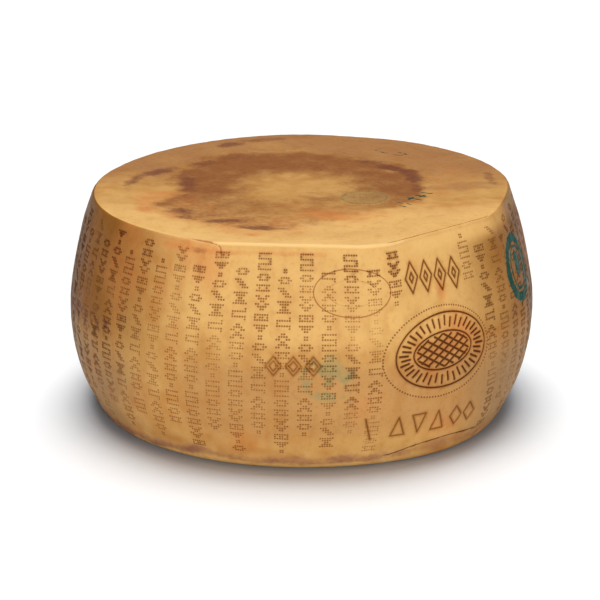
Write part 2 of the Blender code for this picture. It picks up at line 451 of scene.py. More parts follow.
# Ink on the side: the faint red ring, as the burnt marks, the green ring with its leaf, and a smear
INK_RADIUS = 0.215
RED_MIDDLE = (12.1, 0.1755, INK_RADIUS)
RED_RING = (0.035, 0.0213)
RED_BOX = (0.042, 0.028)
RED_LINES = (
    (RED_MIDDLE, RED_BOX, RED_RING, 0.0006, 1.0),
    (RED_MIDDLE, RED_BOX, (RED_RING[0] * 0.62, RED_RING[1] * 0.55), 0.0005, 0.6),
)
GREEN_MIDDLE = (70.6, 0.1575, INK_RADIUS)
GREEN_RADIUS = 0.0315
GREEN_BOX = (0.036, 0.036)
SMEAR_MIDDLE = (6.0, 0.0985, INK_RADIUS)
SMEAR_RING = (0.026, 0.025)
GREEN_OUTER_BAND = (0.78, 1.0, 0.05)
GREEN_INNER_BAND = (0.6, 0.65, 0.04)
LEAF = (0.001, 0.004, 0.011, 0.013)
SMEAR_BLOB = (0.004, 0.008, 0.013, 0.012)
SMEAR_WAVES = ((0.9, 0.0075, 41), (0.5, 0.003, 42))

# Ink strokes on the top face, each set as (lines, half width, strength)
INK_BLUR = 0.0006
INK_STROKES = (
    ((
        [(0.1168, -0.011), (0.1262, -0.0158)],
        [(0.111, -0.021), (0.1195, -0.0275)],
        [(0.1142, -0.0278), (0.119, -0.0215)],
        [(0.1015, -0.032), (0.1142, -0.0392)],
        [(0.103, -0.0385), (0.1075, -0.03)],
    ), 0.00125, 1.0),
    ((
        [(0.0905, -0.048), (0.096, -0.053)],
        [(0.0935, -0.06), (0.0985, -0.064)],
        [(0.101, -0.053), (0.104, -0.056)],
    ), 0.001, 0.6),
    ((
        [(0.076, 0.142), (0.086, 0.133), (0.093, 0.1345)],
        [(0.09, 0.129), (0.101, 0.123), (0.109, 0.1255)],
        [(0.098, 0.135), (0.111, 0.121)],
    ), 0.0011, 0.45),
)

# Inset disc in the top face
DISC_PLACE = (0.0603, -0.0309)
DISC_RADIUS = 0.026
DISC_RISE = 0.0005
DISC_EDGE = 0.0008
DISC_TINT_EDGE = 0.002
DISC_DOTS = (DISC_RADIUS * 0.84, DISC_RADIUS * 0.84, 46)
DISC_DOT_STROKE = (0.0008, 0.0004)
DISC_GRID_RADIUS = DISC_RADIUS * 0.6
DISC_GRID_PITCH = (0.006, 0.009)
DISC_MARGIN = 0.004


def stroke(distance, half_width, soft=STROKE_BLUR):
    """1 on a stroke, fading to 0 at its edge."""
    return smooth_step((half_width + soft - distance) / (2.0 * soft))


def on_mark(place, middle, box):
    """Places on the side in a mark's box, measured from its middle, and which they are."""
    x, y = local(place, *middle)
    where = (np.abs(x) < box[0]) & (np.abs(y) < box[1]) & place.on_side
    return x[where], y[where], where


def fill(result, where, values):
    """Raises part of a field to new values."""
    result[where] = np.maximum(result[where], values)


def close(distance, where, values):
    """Lowers part of a distance field to new values."""
    distance[where] = np.minimum(distance[where], values)


def oval_spot(x, y, middle_x, middle_y, half_x, half_y):
    """A soft oval spot, 1 in its middle."""
    return np.exp(-np.hypot((x - middle_x) / half_x, (y - middle_y) / half_y) ** 2)


def uneven(points, parts):
    """A sum of waves, each given as (amount, size, seed)."""
    return sum(amount * waves(points, size, seed) for amount, size, seed in parts)


def side_strokes(place, marks, blur=STROKE_BLUR):
    """The strokes of some marks on the side, and the distance to the nearest."""
    amount = np.zeros_like(place.z)
    distance = np.full_like(place.z, FAR)
    for middle, box, shape, half_width, strength in marks:
        x, y, where = on_mark(place, middle, box)
        is_oval = isinstance(shape, tuple)
        gap = oval_distance(x, y, *shape) if is_oval else line_distance(x, y, shape)
        fill(amount, where, strength * stroke(gap, half_width, blur))
        close(distance, where, gap)
    return amount, distance


def oval_dots(place):
    """The dotted oval round the mark, and the distance to its dots."""
    x, y, where = on_mark(place, DOTTED_OVAL_MIDDLE, DOTTED_OVAL_BOX)
    distance = np.full_like(place.z, FAR)
    distance[where] = dot_distance(x, y, *dotted_oval(*DOTTED_OVAL))
    return stroke(distance, *DOT_STROKE), distance


def green_ink(place):
    """The green ring, its leaf and the green strokes of the top face, and the distance to them."""
    amount = np.zeros_like(place.z)
    distance = np.full_like(place.z, FAR)
    x, y, where = on_mark(place, GREEN_MIDDLE, GREEN_BOX)
    level = np.hypot(x / GREEN_RADIUS, y / GREEN_RADIUS)
    lines = np.maximum(band(level, *GREEN_OUTER_BAND), 0.7 * band(level, *GREEN_INNER_BAND))
    leaf = smooth_step((1.0 - np.hypot((x - LEAF[0]) / LEAF[2], (y - LEAF[1]) / LEAF[3])) * 4.0)
    fill(amount, where, np.maximum(lines, leaf))
    edge = np.minimum(np.abs(level - 0.9), np.abs(level - 0.62)) * GREEN_RADIUS
    close(distance, where, np.where(leaf > 0.0, 0.0, edge))
    for lines, half_width, strength in INK_STROKES:
        gap = line_distance(place.x[place.on_top], place.y[place.on_top], lines)
        fill(amount, place.on_top, strength * stroke(gap, half_width, INK_BLUR))
        close(distance, place.on_top, gap)
    return amount, distance


def green_smear(place):
    """The faint green smear at the front."""
    x, y = local(place, *SMEAR_MIDDLE)
    level = np.hypot(x / SMEAR_RING[0], y / SMEAR_RING[1])
    patches = smooth_step(0.45 + uneven(place.points, SMEAR_WAVES)) * smooth_step((1.2 - level) / 0.55)
    return np.maximum(patches, oval_spot(x, y, *SMEAR_BLOB)) * place.on_side


def disc_marks(place):
    """The inset disc: its height, its tint and its dots, and the distance to its edges."""
    x, y = place.x - DISC_PLACE[0], place.y - DISC_PLACE[1]
    out = np.hypot(x, y)
    height = DISC_RISE * smooth_step((DISC_RADIUS - out) / DISC_EDGE) * place.on_top
    tint = smooth_step((DISC_RADIUS - out) / DISC_TINT_EDGE) * place.on_top
    pitch_x, pitch_y = DISC_GRID_PITCH
    corner = 0.5 * DISC_RADIUS
    grid = np.hypot((x + corner) % pitch_x - pitch_x / 2, (y + corner) % pitch_y - pitch_y / 2)
    grid = np.where(out < DISC_GRID_RADIUS, grid, FAR)
    inside = (out < DISC_RADIUS + DISC_MARGIN) & place.on_top
    distance = np.full_like(out, FAR)
    distance[inside] = dot_distance(x[inside], y[inside], *dotted_oval(*DISC_DOTS))
    close(distance, inside, grid[inside])
    edge = np.where(place.on_top, np.abs(out - DISC_RADIUS), FAR)
    return height, tint, stroke(distance, *DISC_DOT_STROKE), np.minimum(distance, edge)


# Reddish line along the rim of the marked panel, the foot's step with the painted shadow line under its
# lip, and the seam near the rim
RIM_LINE_SPAN = (24.0, 58.0, 5.0)
RIM_LINE_OFFSET = 0.0004
THIN_STROKE = 0.0006
THIN_BLUR = 0.0005
STEP_LINE = (
    (16.0, 0.0085), (22.6, 0.012), (26.2, 0.016), (28.0, 0.018), (30.6, 0.0196), (34.0, 0.0212),
    (38.0, 0.0221), (42.0, 0.022), (47.0, 0.0205), (53.6, 0.017), (64.0, 0.014),
)
STEP_SPAN = (24.0, 48.0, 6.0)
STEP_DEPTH = 0.0013
STEP_SLOPE = 0.0012
STEP_REACH = (-0.016, 1.0, 0.006)
# Drop and stroke of the painted shadow line under the step's lip
STEP_SHADOW_DROP = 0.0016
STEP_SHADOW_STROKE = (0.0013, 0.0006)
SEAM_LINE = [(-0.043, 0.0038), (-0.011, 0.0028), (-0.003, 0.0012), (-0.0002, -0.002), (0.0004, -0.0065)]
SEAM = (((-21.2, 0.214, 0.2), (0.07, 0.014), [SEAM_LINE], THIN_STROKE, 1.0),)


def rim_line(place):
    """Thin line along the rim of the marked panel, and the distance to it."""
    span = band(place.azimuth, *RIM_LINE_SPAN)
    gap = np.abs(place.length - TOP_END - RIM_LINE_OFFSET)
    return stroke(gap, THIN_STROKE, THIN_BLUR) * span, np.where(span > 0.1, gap, FAR)


def step_line(azimuth):
    """Height of the step low on the side, as it runs round."""
    turns, heights = zip(*STEP_LINE)
    return np.interp(azimuth, turns, heights)


def step_fields(place):
    """Relief and dark line of the step, the line being a shallow groove with painted shadow under the
    step's lip, and the distance to it.
    """
    span = band(place.azimuth, *STEP_SPAN) * place.on_side
    gap = place.z - step_line(place.azimuth)
    relief = -STEP_DEPTH * smooth_step(-gap / STEP_SLOPE + 0.5) * span * band(gap, *STEP_REACH)
    # A painted shadow line just under the step's lip, also cut in as a shallow groove
    line = stroke(np.abs(gap + STEP_SHADOW_DROP), *STEP_SHADOW_STROKE) * span
    return relief, line, np.where(span > 0.05, np.abs(gap), FAR)


# Pin marks


def motif_run(first, room):
    """Rows of motifs, one after another from the first, as many whole ones as there is room for."""
    rows = ()
    number = first
    while True:
        motif = MOTIFS[number % len(MOTIFS)]
        if len(rows) + len(motif) > room:
            return rows
        rows += motif + GAP
        number += 1


def pinned_cells():
    """How deep a pin mark each cell carries, as a table by ring and column."""
    centres = np.arange(SIDE_FIRST, SIDE_LAST) + 0.5
    heights = wrap(centres, np.zeros_like(centres))[2][:, 2]
    random = np.random.default_rng(23)
    table = np.zeros((len(RINGS), CELLS_ROUND))
    for column in range(COLUMNS):
        if column in BARE_COLUMNS:
            continue
        first = column * COLUMN_CELLS + 1 + (SHIFT_CELLS if column in SHIFTED_COLUMNS else 0)
        start, end = (UPPER_START, UPPER_END) if column % 2 == 0 else (LOWER_START, LOWER_END)
        if column in SHORT_COLUMNS:
            end = SHORT_END
        kept = np.where((heights < start) & (heights > end))[0]
        run = motif_run(int(random.integers(0, len(MOTIFS))), len(kept))
        press = random.uniform(0.8, 1.0)
        for ring, marks in zip(kept, run):
            for place, mark in enumerate(marks):
                depth = press * random.uniform(0.82, 1.0)
                if mark == "#":
                    table[SIDE_FIRST + ring, first + place] = depth
    return table


PINNED = pinned_cells()


def pin_marks(row, col, cell_width):
    """1 in the middle of a pin mark, a half at its rim, and 0 a little outside it."""
    ring = np.clip(np.floor(row).astype(int), 0, len(RINGS) - 1)
    column = np.floor(col).astype(int) % CELLS_ROUND
    gap = np.hypot((row - ring - 0.5) * CELL_HEIGHT, (col - np.floor(col) - 0.5) * cell_width)
    inside = 1.0 - 0.5 * gap / PIN_RADIUS
    outside = 0.5 - (gap - PIN_RADIUS) / PIN_RADIUS
    return np.clip(np.where(gap < PIN_RADIUS, inside, outside), 0.0, 1.0) * PINNED[ring, column]


def pin_crowd(row, col):
    """How many of the cells round a place carry a pin."""
    total = np.zeros_like(row)
    for down in (-0.49, 0.49):
        for along in (-0.49, 0.49):
            ring = np.clip(np.floor(row + down).astype(int), 0, len(RINGS) - 1)
            column = np.floor(col + along).astype(int) % CELLS_ROUND
            total += PINNED[ring, column]
    return total / 4.0


# Mesh

# Cells nearer to a stroke than this are divided finely
FINE_REACH = 0.0023


def cell_step(ring):
    """Lattice columns per cell in a ring."""
    return CELLS_ROUND // RINGS[ring][1]


def fine_cells():
    """Cells near a stroke, as (ring, first column), which are divided finely."""
    cells = []
    for ring in range(1, len(RINGS) - 2):
        step = cell_step(ring)
        if all(cell_step(other) == step for other in (ring - 1, ring + 1, ring + 2)):
            cells += [(ring, column, step) for column in range(0, CELLS_ROUND, step)]
    cells = np.array(cells)
    place = Surface(cells[:, 0] + 0.5, cells[:, 1] + cells[:, 2] / 2.0, SIDE_START, TOP_END)
    distances = [side_strokes(place, marks)[1] for marks in (BURNS, RED_LINES, SEAM)]
    distances += [mark(place)[-1] for mark in (oval_dots, green_ink, disc_marks, step_fields, rim_line)]
    distance = np.minimum.reduce(distances)
    return {(int(ring), int(column)) for ring, column in cells[distance < FINE_REACH, :2]}


class Lattice:
    """Vertices by their place on the lattice, and faces that share them."""

    def __init__(self, fine):
        self.fine = fine
        self.known = {}
        self.places = []
        self.faces = []

    def add(self, row, col):
        """A vertex of its own."""
        self.places.append((row, col))
        return len(self.places) - 1

    def at(self, row, col):
        """The shared vertex at a place given in fine steps."""
        key = (row, col % (CELLS_ROUND * FINE))
        if key not in self.known:
            self.known[key] = self.add(key[0] / FINE, key[1] / FINE)
        return self.known[key]

    def across(self, ring, start, end, cells):
        """Vertices along a ring between two columns, with those that a fine cell adds."""
        step = cell_step(ring)
        result = []
        for column in range(start, end, step):
            split = any((row, column) in self.fine for row in cells)
            count = FINE if split else 1
            for part in range(count):
                result.append(self.at(ring * FINE, column * FINE + part * step * FINE // count))
        return result[1:]

    def down(self, ring, column, beside):
        """Vertices between two rings that a fine cell adds at a column."""
        if not any((ring, other % CELLS_ROUND) in self.fine for other in beside):
            return []
        return [self.at(ring * FINE + part, column * FINE) for part in range(1, FINE)]

    def sides(self, ring, start, end, step):
        """The four sides of a cell, each from one corner to just before the next."""
        a = self.at(ring * FINE, start * FINE)
        b = self.at((ring + 1) * FINE, start * FINE)
        c = self.at((ring + 1) * FINE, end * FINE)
        d = self.at(ring * FINE, end * FINE)
        left = [a] + self.down(ring, start, (start, start - step))
        bottom = [b] + self.across(ring + 1, start, end, (ring, ring + 1))
        right = [c] + self.down(ring, end, (start, end))[::-1]
        top = [d] + self.across(ring, start, end, (ring - 1, ring))[::-1]
        return left, bottom, right, top

    def plain(self, ring, start, end, step):
        """A cell as one face."""
        self.faces.append(sum(self.sides(ring, start, end, step), []))

    def divided(self, ring, start, step):
        """A cell as many small faces."""
        for down in range(FINE):
            for along in range(FINE):
                row = ring * FINE + down
                col = start * FINE + along * step
                corners = ((row, col), (row + 1, col), (row + 1, col + step), (row, col + step))
                self.faces.append([self.at(*corner) for corner in corners])

    def pitted(self, ring, start, cell_width):
        """A cell with a round pit in its middle."""
        wide = PIN_RADIUS / cell_width
        tall = PIN_RADIUS / CELL_HEIGHT
        middle_row, middle_col = ring + 0.5, start + 0.5
        rim = []
        for eighth in range(8):
            turn = math.tau * (eighth + 0.5) / 8
            rim.append(self.add(middle_row - tall * math.cos(turn), middle_col - wide * math.sin(turn)))
        bottom = self.add(middle_row, middle_col)
        sides = self.sides(ring, start, start + 1, 1)
        for number, side in enumerate(sides):
            corner = sides[(number + 1) % 4][0]
            near, far = rim[(2 * number + 1) % 8], rim[(2 * number + 2) % 8]
            self.faces.append(side + [corner, far, near])
            self.faces.append([corner, rim[(2 * number + 3) % 8], far])
        for eighth in range(8):
            self.faces.append([rim[eighth], rim[(eighth + 1) % 8], bottom])


def build_lattice():
    """All cells of the wheel, and one face in the middle of the top and of the underside."""
    lattice = Lattice(fine_cells())
    for ring in range(len(RINGS) - 1):
        step = max(cell_step(ring), cell_step(ring + 1))
        cell_width = math.tau * np.interp(RINGS[ring][0], PATH_LENGTH, PATH_RADIUS) / CELLS_ROUND
        for start in range(0, CELLS_ROUND, step):
            if (ring, start) in lattice.fine:
                lattice.divided(ring, start, step)
            elif PINNED[ring, start] > 0.0:
                lattice.pitted(ring, start, cell_width)
            else:
                lattice.plain(ring, start, start + step, step)
    for ring, order in ((0, 1), (len(RINGS) - 1, -1)):
        columns = range(0, CELLS_ROUND, cell_step(ring))
        lattice.faces.append([lattice.at(ring * FINE, column * FINE) for column in columns][::order])
    return lattice


# Fields that colour the top face

# The brown ring, as (azimuth, outer radius, strength)
BROWN_RING = (
    (-180.0, 0.146, 1.0), (-142.0, 0.152, 1.0), (-126.0, 0.145, 1.0), (-90.0, 0.121, 1.0),
    (-78.0, 0.13, 0.88), (-69.0, 0.152, 0.7), (-44.0, 0.156, 0.66), (-24.0, 0.148, 0.66),
    (-6.0, 0.136, 0.62), (8.0, 0.116, 0.6), (22.0, 0.106, 0.62), (35.0, 0.099, 0.64),
    (48.0, 0.105, 0.66), (73.0, 0.12, 0.86), (90.0, 0.119, 0.95), (122.0, 0.137, 1.0),
    (150.0, 0.124, 1.0), (180.0, 0.146, 1.0),
)
BROWN_INNER_RADII = (0.02, 0.092)
BROWN_INNER_X = -0.003
BROWN_FRONT_SQUASH = 1.25
BROWN_BLUR = 0.027
TOP_WARP = ((0.004, 0.022, 71), (0.0026, 0.008, 72))

# Long soft spots, as (x, y, half length, half width, turn, strength)
TOP_STREAKS = (
    (-0.07, -0.1125, 0.024, 0.006, 6.0, 0.8),
    (-0.042, -0.133, 0.024, 0.0066, -8.0, 1.0),
    (-0.11, -0.102, 0.015, 0.008, -30.0, 0.55),
    (-0.117, -0.077, 0.012, 0.011, -40.0, 0.75),
    (-0.14, -0.052, 0.01, 0.008, -60.0, 0.45),
    (-0.1475, 0.055, 0.027, 0.008, 47.0, 0.9),
    (-0.166, 0.025, 0.02, 0.0065, 72.0, 0.8),
    (-0.17, -0.002, 0.015, 0.005, 88.0, 0.4),
    (-0.075, 0.1615, 0.014, 0.007, 20.0, 0.85),
    (-0.04, 0.179, 0.028, 0.008, 12.0, 0.6),
    (-0.105, 0.145, 0.016, 0.006, 40.0, 0.35),
    (-0.114, 0.02, 0.01, 0.042, 4.0, 0.7),
    (-0.1, 0.092, 0.02, 0.012, 55.0, 0.6),
    (-0.06, 0.118, 0.03, 0.01, 15.0, 0.5),
    (0.065, 0.102, 0.02, 0.009, -30.0, 0.7),
    (0.093, 0.074, 0.025, 0.0085, -40.0, 1.0),
    (0.111, 0.042, 0.008, 0.025, 4.0, 0.95),
    (0.112, 0.008, 0.007, 0.016, 0.0, 0.7),
    (0.185, 0.03, 0.006, 0.024, 4.0, 0.65),
    (0.01, -0.1215, 0.004, 0.0012, 0.0, 0.55),
)
BROWN_SPOTS = ((0.022, -0.035, 0.028, 0.017, 30.0, 0.62),)
TAN_SPOTS = ((0.16, 0.006, 0.04, 0.018, 4.0, 0.7),)
PALE_STREAKS = (
    (0.045, -0.1345, 0.03, 0.0022, -4.0, 1.0),
    (0.086, -0.137, 0.012, 0.0018, -40.0, 0.7),
)

# Orange at the front, as (x, y, half width, half depth), and patches as (strength, radii, azimuths)
FRONT_ORANGE = (0.03, -0.09, 0.06, 0.03)
ORANGE_PATCHES = (
    (0.6, (0.11, 0.16, 0.02), (-80.0, -5.0, 15.0)),
    (0.3, (0.125, 0.17, 0.02), (60.0, 110.0, 25.0)),
)
PALE_PATCH = ((0.172, 0.3, 0.02), (-105.0, -50.0, 15.0))
MIDDLE_RADII = (0.06, 0.02)
TAN_DEPTHS = (-0.05, 0.1)
TAN_BLUR = 0.02
PALE_DEPTHS = (-0.02, -0.105)
PALE_RADII = (0.085, 0.125)


def patch(value, azimuth, span, turns):
    """A soft patch between two values and two azimuths, each given as (start, end, softness)."""
    return band(value, *span) * band(azimuth, *turns)


def spots(place, table):
    """Long soft spots on the top face."""
    result = np.zeros_like(place.z)
    for middle_x, middle_y, half_x, half_y, turn, most in table:
        cos, sin = math.cos(math.radians(turn)), math.sin(math.radians(turn))
        x, y = place.x - middle_x, place.y - middle_y
        spot = np.hypot((x * cos + y * sin) / half_x, (y * cos - x * sin) / half_y)
        spot += 0.22 * waves(place.points, 0.009, 74)
        result = np.maximum(result, most * rise(spot, 1.75, 0.25))
    return result


def top_stains(place):
    """Brown ring, dark streaks, orange front, light middle, pale rim and tan back of the top face."""
    x, y, azimuth, points = place.x, place.y, place.azimuth, place.points
    warp = uneven(points, TOP_WARP)
    out = np.hypot(x, y) + warp
    turns, edges, strengths = zip(*BROWN_RING)
    edge = np.interp(azimuth, turns, edges)
    squash = np.where(y < 0.0, BROWN_FRONT_SQUASH, 1.0)
    brown = rise(np.hypot(x - BROWN_INNER_X, y * squash) + warp, *BROWN_INNER_RADII)
    brown *= smooth_step((edge - out) / BROWN_BLUR + 0.5) * np.interp(azimuth, turns, strengths)
    brown *= 0.94 + 0.12 * waves(points, 0.014, 73)
    brown = np.maximum(brown, spots(place, BROWN_SPOTS))
    orange = 0.82 * oval_spot(x, y, *FRONT_ORANGE)
    brown *= 1.0 - 0.65 * orange
    for strength, radii, turns in ORANGE_PATCHES:
        orange = np.maximum(orange, strength * patch(out, azimuth, radii, turns))
    orange *= 0.92 + 0.2 * waves(points, 0.015, 75)
    tan = rise(y, *TAN_DEPTHS) * smooth_step((out - edge) / TAN_BLUR + 0.5)
    tan *= 0.9 + 0.14 * waves(points, 0.02, 76)
    pale = rise(y, *PALE_DEPTHS) * rise(out, *PALE_RADII)
    pale = np.maximum(pale, 0.25 * patch(out, azimuth, *PALE_PATCH))
    return {
        "brown": brown,
        "purple": spots(place, TOP_STREAKS),
        "orange": orange,
        "middle": rise(out, *MIDDLE_RADII),
        "pale": np.maximum(pale, spots(place, PALE_STREAKS)),
        "tan": np.maximum(tan, spots(place, TAN_SPOTS)),
    }


# Fields that colour the side

# How strong the brown band above the foot is, as (azimuth, share)
FOOT_SHARES = (
    (-180.0, 0.3), (-90.0, 0.45), (-60.0, 0.85), (-42.0, 0.98), (-30.0, 0.88), (-18.0, 0.76),
    (-6.0, 0.74), (6.0, 0.86), (18.0, 0.8), (30.0, 0.6), (60.0, 0.7), (90.0, 0.4), (180.0, 0.3),
)
SIDE_WARP = ((0.0007, 0.012, 81), (0.0006, 0.004, 82))
FOOT_RISE = (0.004, 0.0085)
FOOT_FALL = (0.0225, 0.0095)
UNDER_STEP = ((-0.0085, -0.0015, 0.003), (20.0, 54.0, 8.0))

# Painted shade on the flanks: azimuths at which it begins and is full, and heights that part the high
# from the low
LEFT_TURNS = (-26.0, -66.0)
HIGH_RIGHT_TURNS = (30.0, 68.0)
LOW_RIGHT_TURNS = (28.0, 64.0)
PARTING = (0.07, 0.13)
LIMB_TURNS = (64.0, 82.0)
LIGHTER_RIGHT = (30.0, 110.0, 30.0)
LIGHTER_LEFT = (-110.0, -30.0, 30.0)

# Patches as (heights, azimuths), and soft spots as (field, strength, azimuth, height, half sizes)
RIM_ORANGE = ((0.208, 0.2098, 0.0022), (-34.0, 2.0, 8.0))
SCRIBBLE = ((0.108, 0.123, 0.003), (-78.0, -54.0, 4.0))
LOW_TAN = ((0.05, 0.095, 0.035), (-24.0, 60.0, 14.0))
LEFT_ORANGE_TURNS = (-48.0, -32.0, 14.0)
PALE_TURNS = (-24.0, 54.0, 22.0)
MIDDLE_TURNS = (-20.0, 34.0, 26.0)
# Azimuths of the light painted low at the foot
FOOT_LIGHT_TURNS = (-46.0, 20.0, 12.0)
MARK_INSIDE = (0.0, 0.001, 0.026, 0.013)
SIDE_SPOTS = (
    # The first spot is painted shade under the corner of the marked panel's rim
    ("painted_flank_shade", 0.6, 72.0, 0.193, 6.5, 0.01),
    ("orange", 0.8, 37.0, 0.166, 1.6, 0.012),
    ("purple", 0.75, -26.8, 0.2085, 2.2, 0.0028),
    ("pale", 1.2, 22.0, 0.148, 4.0, 0.014),
)


def foot_band(place, level):
    """The brown band above the foot and under the step."""
    edge = level + 0.0015 * waves(place.points, 0.016, 88)
    foot = rise(edge, *FOOT_RISE) * rise(edge, *FOOT_FALL)
    foot *= np.interp(place.azimuth, *zip(*FOOT_SHARES))
    under_step = patch(level - step_line(place.azimuth), place.azimuth, *UNDER_STEP)
    foot = np.maximum(foot, 0.55 * under_step)
    return foot * (0.8 + 0.16 * waves(place.points, 0.01, 83))


def flanks(place):
    """Painted shade on the flanks: brown on the high ones, grey on the low ones and dark at the far
    sides.
    """
    azimuth, z = place.azimuth, place.z
    uneven_tone = 0.96 + 0.1 * waves(place.points, 0.03, 84)
    high = rise(z, *PARTING)
    left = rise(azimuth, *LEFT_TURNS)
    painted_flank_shade = np.maximum(left, rise(azimuth, *HIGH_RIGHT_TURNS)) * high * uneven_tone
    painted_flank_shade *= 1.0 - band(azimuth, *LIGHTER_RIGHT) * (0.12 + 0.58 * rise(z, 0.195, 0.21))
    painted_low_flank_shade = np.maximum(left, rise(azimuth, *LOW_RIGHT_TURNS)) * (1.0 - high) * uneven_tone
    painted_low_flank_shade *= 1.0 - 0.3 * band(azimuth, *LIGHTER_LEFT) * rise(z, 0.065, 0.035)
    painted_low_flank_shade *= rise(z, 0.002, 0.022)
    painted_limb_shade = rise(np.abs(azimuth), *LIMB_TURNS) * (0.35 + 0.65 * rise(z, 0.05, 0.11))
    return painted_flank_shade, painted_low_flank_shade, painted_limb_shade


def side_stains_and_painted_light(place):
    """Fields of the side: the stained foot band, orange, dark smudges, pale and tan; painted shade on
    the flanks and at the far sides; and painted light low at the foot.
    """
    azimuth, z, points = place.azimuth, place.z, place.points
    level = z + uneven(points, SIDE_WARP)
    painted_flank_shade, painted_low_flank_shade, painted_limb_shade = flanks(place)
    x, y = local(place, *OVAL_MARK)
    inside = oval_spot(x, y, *MARK_INSIDE)
    rust = 0.3 * rise(np.hypot(x / 0.054, y / 0.036), 1.3, 0.6)
    orange = np.maximum(rust, 0.5 * inside) + 0.28 * waves(points, 0.035, 85).clip(0.0)
    orange += 0.55 * patch(level, azimuth, *RIM_ORANGE)
    orange += 0.34 * band(azimuth, *LEFT_ORANGE_TURNS) * rise(z, 0.1, 0.17)
    scribble = patch(z, azimuth, *SCRIBBLE)
    scribble *= 0.95 * smooth_step(0.35 + 1.2 * waves(points, 0.0045, 87))
    pale = 0.72 * rise(z, 0.105, 0.14) + 0.12 * rise(z, 0.175, 0.195)
    pale *= band(azimuth, *PALE_TURNS)
    middle = 0.32 * rise(z, 0.03, 0.08) * band(azimuth, *MIDDLE_TURNS)
    # Painted light at the foot: the lower edge and the band above it are made pale where they lie in
    # shade
    painted_foot_light = np.maximum(0.95 * band(level, -0.002, 0.006, 0.002), 0.7 * rise(level, 0.026, 0.01))
    painted_foot_light *= band(azimuth, *FOOT_LIGHT_TURNS)
    stains_and_painted_light = {
        "foot": foot_band(place, level),
        # Painted shade on the flanks and at the far sides
        "painted_flank_shade": painted_flank_shade,
        "painted_low_flank_shade": painted_low_flank_shade,
        "painted_limb_shade": painted_limb_shade,
        "orange": orange,
        "purple": scribble,
        # pale also holds the light painted low at the foot
        "pale": np.maximum.reduce([pale, middle, painted_foot_light]),
        "tan": np.maximum(0.5 * patch(z, azimuth, *LOW_TAN), 0.6 * inside),
    }
    for name, strength, *oval in SIDE_SPOTS:
        stains_and_painted_light[name] = np.maximum(stains_and_painted_light[name], strength * oval_spot(azimuth, z, *oval))
    return stains_and_painted_light


# Painted highlights on the upper edge, on the top's front rim and on the panels' bevel, as (lengths or
# heights, azimuths)
EDGE_HIGHLIGHT = ((TOP_END + 0.0012, SIDE_START - 0.0014, 0.0012), (-21.0, 25.0, 6.0))
RIM_HIGHLIGHT = ((TOP_END - 0.012, TOP_END + 0.001, 0.009), (-34.0, 22.0, 16.0))
BEVEL_HIGHLIGHT = ((0.206, 0.214, 0.012), (30.0, 52.0, 20.0))


def painted_highlight_field(place):
    """Where a highlight is painted pale on the upper edge, the rim and the bevel."""
    edge = patch(place.length, place.azimuth, *EDGE_HIGHLIGHT)
    rim = 0.45 * patch(place.length, place.azimuth, *RIM_HIGHLIGHT)
    bevel = 0.34 * patch(place.z, place.azimuth, *BEVEL_HIGHLIGHT)
    return np.maximum(np.maximum(edge, bevel) * place.on_side, rim)


# Pins: tone, and where the tint round them runs
PIN_TONE = (0.88, 0.55, 1.0)
HIGH_SMUDGE = ((0.176, 0.196), (-50.0, 26.0, 15.0))
FLANK_SMUDGE = (4.0, 36.0, 66.0)
SMUDGE_SPOT = (12.0, 0.082, 4.5, 0.03)


def pin_fields(place, row, col):
    """Pin marks, and the tint that runs out of crowded ones."""
    azimuth, z = place.azimuth, place.z
    base, least, most = PIN_TONE
    tone = np.clip(base + 0.16 * waves(place.points, 0.04, 31), least, most)
    cell_width = math.tau * np.hypot(place.x, place.y) / CELLS_ROUND
    middle, start, end = FLANK_SMUDGE
    smudge = np.maximum.reduce([
        rise(z, *HIGH_SMUDGE[0]) * band(azimuth, *HIGH_SMUDGE[1]),
        0.85 * rise(np.abs(turn_from(azimuth, middle)), start, end),
        oval_spot(azimuth, z, *SMUDGE_SPOT),
    ]) * place.on_side
    pin = pin_marks(row, col, cell_width) * tone
    return pin, pin_crowd(row, col) * tone * (0.36 + 0.56 * smudge)


# Flat layout for baking: two strips for the side, and a disc for each face
STRIP_START = 0.01
STRIP_WIDTH = 0.98
STRIP_HEIGHT = 0.23
STRIP_PITCH = 0.25
DISC_MIDDLES = (0.25, 0.75)
DISC_LEVEL = 0.755
DISC_HALF = 0.235


def read(items, name):
    """One whole number of each mesh item."""
    values = np.empty(len(items), np.int32)
    items.foreach_get(name, values)
    return values


def lay_uv(mesh, col, place):
    """Lays the surface out flat without overlaps."""
    corners = read(mesh.loops, "vertex_index")
    totals = read(mesh.polygons, "loop_total")
    face = np.repeat(np.arange(len(totals)), totals)
    half = CELLS_ROUND / 2
    first = col[corners[read(mesh.polygons, "loop_start")]][face]
    turn = first + (col[corners] - first + half) % CELLS_ROUND - half
    turn -= np.floor(np.bincount(face, turn) / totals / CELLS_ROUND)[face] * CELLS_ROUND
    strip = (np.bincount(face, turn) / totals > half)[face]
    length = place.length[corners]
    middle = (np.bincount(face, length) / totals)[face]
    top, under = middle < TOP_END, middle > FOOT_START
    down = (length - TOP_END) / (FOOT_START - TOP_END)
    flat = place.points[corners] * DISC_HALF / RIM_RADIUS
    u = STRIP_START + STRIP_WIDTH * (turn / half - strip)
    u = np.where(top, DISC_MIDDLES[0] + flat[:, 0], np.where(under, DISC_MIDDLES[1] - flat[:, 0], u))
    v = STRIP_START + STRIP_HEIGHT * down + STRIP_PITCH * strip
    v = np.where(top | under, DISC_LEVEL + flat[:, 1], v)
    layer = mesh.uv_layers.new(name="OFBake")
    layer.data.foreach_set("uv", np.stack([u, v], axis=1).ravel())


